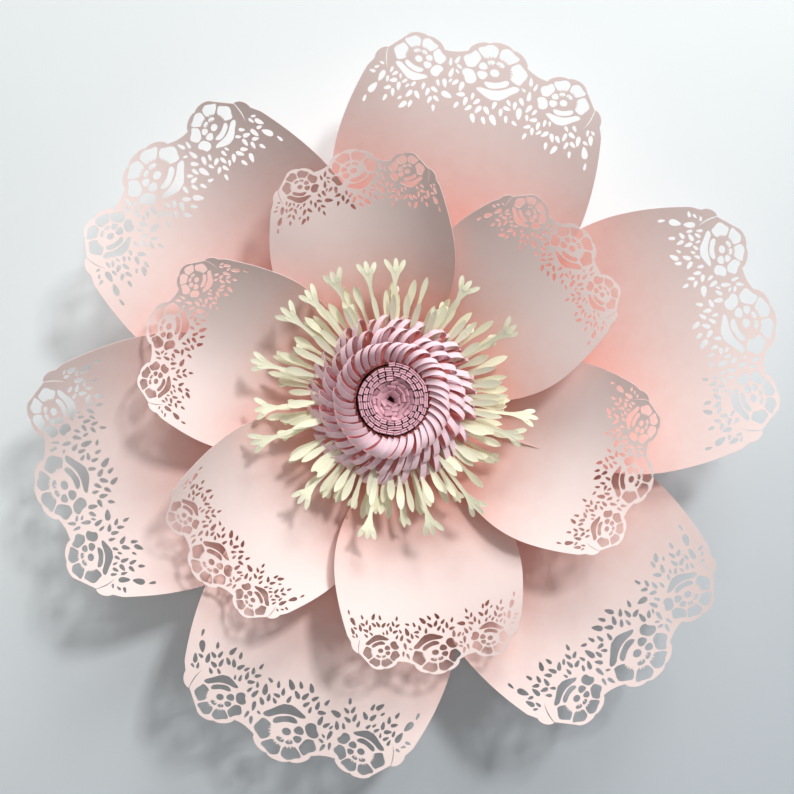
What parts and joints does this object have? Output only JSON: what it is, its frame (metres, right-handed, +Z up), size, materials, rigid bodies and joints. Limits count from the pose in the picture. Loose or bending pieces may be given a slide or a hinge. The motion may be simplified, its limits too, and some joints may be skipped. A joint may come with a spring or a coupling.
{
  "type": "giant paper flower",
  "caption": "Large wall flower of cut and curled card: two rings of cupped petals with a lace lip round a bundle of fringed stamens, folded loops and a rolled core.",
  "frame": {"origin": "centre of the back disc's back face, on the flower's axis, where it lies on the wall", "axes": "+Y into the wall, so the flower faces -Y; +Z up and +X to the right as seen from the front"},
  "size_m": [0.5995, 0.0898, 0.5966],
  "materials": {
    "petal_card": "matt pale pink card",
    "loop_paper": "matt dusty rose paper",
    "core_paper": "matt mauve paper",
    "core_centre_paper": "matt mauve paper",
    "stamen_paper": "matt cream paper",
    "grey_board": "plain grey board"
  },
  "bodies": {
    "root": {"back_disc": "grey_board", "front_disc": "grey_board", "outer_petal_1": "petal_card", "outer_petal_2": "petal_card", "outer_petal_3": "petal_card", "outer_petal_4": "petal_card", "outer_petal_5": "petal_card", "outer_petal_6": "petal_card", "inner_petal_1": "petal_card", "inner_petal_2": "petal_card", "inner_petal_3": "petal_card", "inner_petal_4": "petal_card", "inner_petal_5": "petal_card", "inner_petal_6": "petal_card", "stamen_fringe_long": "stamen_paper", "stamen_fringe_short": "stamen_paper", "loop_fringe_outer": "loop_paper", "loop_fringe_middle": "loop_paper", "loop_fringe_inner": "loop_paper", "core_rim_roll": "core_paper", "core_centre_roll": "core_centre_paper"}
  },
  "joints": []
}
